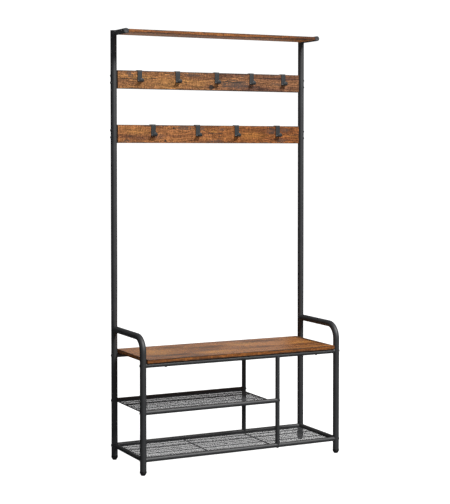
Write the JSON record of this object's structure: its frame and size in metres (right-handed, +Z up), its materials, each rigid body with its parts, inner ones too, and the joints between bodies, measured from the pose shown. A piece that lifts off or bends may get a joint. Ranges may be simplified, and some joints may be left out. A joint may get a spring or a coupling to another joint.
{
  "type": "hall tree",
  "caption": "Tall coat rack with a shoe bench: steel tube frame, wooden seat, two wire shoe shelves, boards of lift-off coat hooks and a narrow top shelf.",
  "frame": {"origin": "on the floor, in the middle of the bounding box's width and depth", "axes": "+Z up, -Y towards the person who faces the hooks, +X to that person's right"},
  "size_m": [0.9452, 0.3414, 1.83],
  "materials": {
    "black_tube": "fine-textured satin powder coat",
    "hook_steel": "satin powder coat",
    "wire_mesh": "powder-coated steel wire",
    "wood_board": "rustic brown wood-grain laminate, satin",
    "black_plastic": "moulded, fine grain",
    "black_bolt": "black zinc",
    "zinc_steel": "zinc plated"
  },
  "bodies": {
    "frame": {"left_rear_leg": "black_tube", "right_rear_leg": "black_tube", "left_middle_post": "black_tube", "right_middle_post": "black_tube", "left_upper_post": "black_tube", "right_upper_post": "black_tube", "left_front_leg": "black_tube", "right_front_leg": "black_tube", "left_bottom_side_rail": "black_tube", "right_bottom_side_rail": "black_tube", "left_shelf_arm": "black_tube", "right_shelf_arm": "black_tube", "left_arm_cap": "black_plastic", "right_arm_cap": "black_plastic", "left_post_cap": "black_plastic", "right_post_cap": "black_plastic", "left_lower_sleeve": "zinc_steel", "right_lower_sleeve": "zinc_steel", "left_upper_sleeve": "zinc_steel", "right_upper_sleeve": "zinc_steel", "top_shelf_board": "wood_board", "upper_hook_board": "wood_board", "lower_hook_board": "wood_board", "seat_board": "wood_board", "seat_front_rail": "black_tube", "seat_rear_rail": "black_tube", "mid_shelf_front_rail": "black_tube", "mid_shelf_rear_rail": "black_tube", "bottom_front_rail": "black_tube", "bottom_rear_rail": "black_tube", "front_divider": "black_tube", "rear_divider": "black_tube", "mid_shelf_rods": "black_tube", "bottom_shelf_rods": "black_tube", "mid_shelf_mesh": "wire_mesh", "bottom_shelf_mesh": "wire_mesh", "foot_plugs": "black_plastic", "rail_bolts": "black_bolt", "mid_shelf_bolts": "black_bolt", "divider_bolts": "black_bolt", "hook_board_bolts": "black_bolt", "rail_inserts": "zinc_steel", "divider_inserts": "zinc_steel", "board_inserts": "zinc_steel", "seat_screws": "black_bolt", "top_shelf_screws": "black_bolt"},
    "hook_upper_1": {"hook_upper_1": "hook_steel"},
    "hook_upper_2": {"hook_upper_2": "hook_steel"},
    "hook_upper_3": {"hook_upper_3": "hook_steel"},
    "hook_upper_4": {"hook_upper_4": "hook_steel"},
    "hook_upper_5": {"hook_upper_5": "hook_steel"},
    "hook_lower_1": {"hook_lower_1": "hook_steel"},
    "hook_lower_2": {"hook_lower_2": "hook_steel"},
    "hook_lower_3": {"hook_lower_3": "hook_steel"},
    "hook_lower_4": {"hook_lower_4": "hook_steel"},
    "left_front_foot": {"left_front_foot": "black_plastic"},
    "right_front_foot": {"right_front_foot": "black_plastic"},
    "left_rear_foot": {"left_rear_foot": "black_plastic"},
    "right_rear_foot": {"right_rear_foot": "black_plastic"}
  },
  "joints": [
    {"name": "hook_upper_1_lift", "type": "slide", "parent": "frame", "child": "hook_upper_1", "axis": [0, 0, 1], "range_m": [0, 0.03]},
    {"name": "hook_upper_2_lift", "type": "slide", "parent": "frame", "child": "hook_upper_2", "axis": [0, 0, 1], "range_m": [0, 0.03]},
    {"name": "hook_upper_3_lift", "type": "slide", "parent": "frame", "child": "hook_upper_3", "axis": [0, 0, 1], "range_m": [0, 0.03]},
    {"name": "hook_upper_4_lift", "type": "slide", "parent": "frame", "child": "hook_upper_4", "axis": [0, 0, 1], "range_m": [0, 0.03]},
    {"name": "hook_upper_5_lift", "type": "slide", "parent": "frame", "child": "hook_upper_5", "axis": [0, 0, 1], "range_m": [0, 0.03]},
    {"name": "hook_lower_1_lift", "type": "slide", "parent": "frame", "child": "hook_lower_1", "axis": [0, 0, 1], "range_m": [0, 0.03]},
    {"name": "hook_lower_2_lift", "type": "slide", "parent": "frame", "child": "hook_lower_2", "axis": [0, 0, 1], "range_m": [0, 0.03]},
    {"name": "hook_lower_3_lift", "type": "slide", "parent": "frame", "child": "hook_lower_3", "axis": [0, 0, 1], "range_m": [0, 0.03]},
    {"name": "hook_lower_4_lift", "type": "slide", "parent": "frame", "child": "hook_lower_4", "axis": [0, 0, 1], "range_m": [0, 0.03]},
    {"name": "left_front_foot_turn", "type": "hinge", "parent": "frame", "child": "left_front_foot", "pos_m": [-0.4565, -0.1565, 0], "axis": [0, 0, 1], "continuous": true},
    {"name": "right_front_foot_turn", "type": "hinge", "parent": "frame", "child": "right_front_foot", "pos_m": [0.4565, -0.1565, 0], "axis": [0, 0, 1], "continuous": true},
    {"name": "left_rear_foot_turn", "type": "hinge", "parent": "frame", "child": "left_rear_foot", "pos_m": [-0.4565, 0.1565, 0], "axis": [0, 0, 1], "continuous": true},
    {"name": "right_rear_foot_turn", "type": "hinge", "parent": "frame", "child": "right_rear_foot", "pos_m": [0.4565, 0.1565, 0], "axis": [0, 0, 1], "continuous": true}
  ]
}
